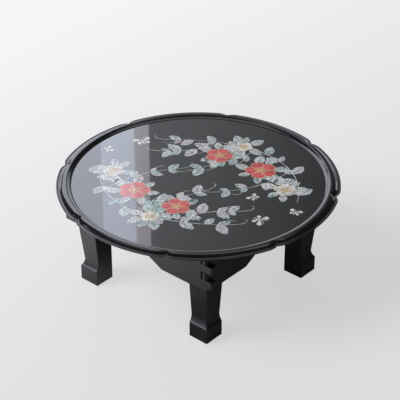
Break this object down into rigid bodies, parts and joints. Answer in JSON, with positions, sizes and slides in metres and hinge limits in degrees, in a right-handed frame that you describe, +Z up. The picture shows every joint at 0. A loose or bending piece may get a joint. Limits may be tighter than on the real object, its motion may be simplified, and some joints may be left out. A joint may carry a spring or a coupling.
{
  "type": "folding low table",
  "caption": "Low round tea table in black lacquer: lobed tray rim around a sunk inlaid panel, square finger-jointed frame, square post legs that fold inward.",
  "frame": {"origin": "floor below the middle of the top", "axes": "+Z up, X along the front and back aprons, Y along the side aprons, front towards -Y"},
  "size_m": [0.45, 0.45, 0.185],
  "materials": {
    "black_lacquer": "gloss",
    "rim_lacquer": "gloss",
    "frame_lacquer": "satin",
    "leg_lacquer": "satin",
    "plain_wood": "matte",
    "brass": "satin",
    "magnet_steel": "satin",
    "felt": "matte"
  },
  "bodies": {
    "tabletop": {"top_panel": "black_lacquer", "rim_ring": "rim_lacquer", "apron_front": "frame_lacquer", "apron_back": "frame_lacquer", "apron_left": "frame_lacquer", "apron_right": "frame_lacquer", "batten_front": "plain_wood", "batten_back": "plain_wood", "batten_screws": "brass", "frame_hinge_screws": "brass", "frame_magnets": "magnet_steel", "corner_block_front_left": "plain_wood", "frame_leaf_front_left": "brass", "hinge_pin_front_left": "brass", "corner_block_front_right": "plain_wood", "frame_leaf_front_right": "brass", "hinge_pin_front_right": "brass", "corner_block_back_left": "plain_wood", "frame_leaf_back_left": "brass", "hinge_pin_back_left": "brass", "corner_block_back_right": "plain_wood", "frame_leaf_back_right": "brass", "hinge_pin_back_right": "brass"},
    "front_left_leg": {"leg_front_left": "leg_lacquer", "leg_leaf_front_left": "brass", "leg_hinge_screws_front_left": "brass", "leg_magnets_front_left": "magnet_steel", "foot_pad_front_left": "felt"},
    "front_right_leg": {"leg_front_right": "leg_lacquer", "leg_leaf_front_right": "brass", "leg_hinge_screws_front_right": "brass", "leg_magnets_front_right": "magnet_steel", "foot_pad_front_right": "felt"},
    "back_left_leg": {"leg_back_left": "leg_lacquer", "leg_leaf_back_left": "brass", "leg_hinge_screws_back_left": "brass", "leg_magnets_back_left": "magnet_steel", "foot_pad_back_left": "felt"},
    "back_right_leg": {"leg_back_right": "leg_lacquer", "leg_leaf_back_right": "brass", "leg_hinge_screws_back_right": "brass", "leg_magnets_back_right": "magnet_steel", "foot_pad_back_right": "felt"}
  },
  "joints": [
    {"name": "front_left_leg_fold", "type": "hinge", "parent": "tabletop", "child": "front_left_leg", "pos_m": [-0.112, -0.0995, 0.098], "axis": [1, 0, 0], "range_deg": [0, 90]},
    {"name": "front_right_leg_fold", "type": "hinge", "parent": "tabletop", "child": "front_right_leg", "pos_m": [0.112, -0.0995, 0.098], "axis": [1, 0, 0], "range_deg": [0, 90]},
    {"name": "back_left_leg_fold", "type": "hinge", "parent": "tabletop", "child": "back_left_leg", "pos_m": [-0.112, 0.0995, 0.098], "axis": [-1, 0, 0], "range_deg": [0, 90]},
    {"name": "back_right_leg_fold", "type": "hinge", "parent": "tabletop", "child": "back_right_leg", "pos_m": [0.112, 0.0995, 0.098], "axis": [-1, 0, 0], "range_deg": [0, 90]}
  ]
}
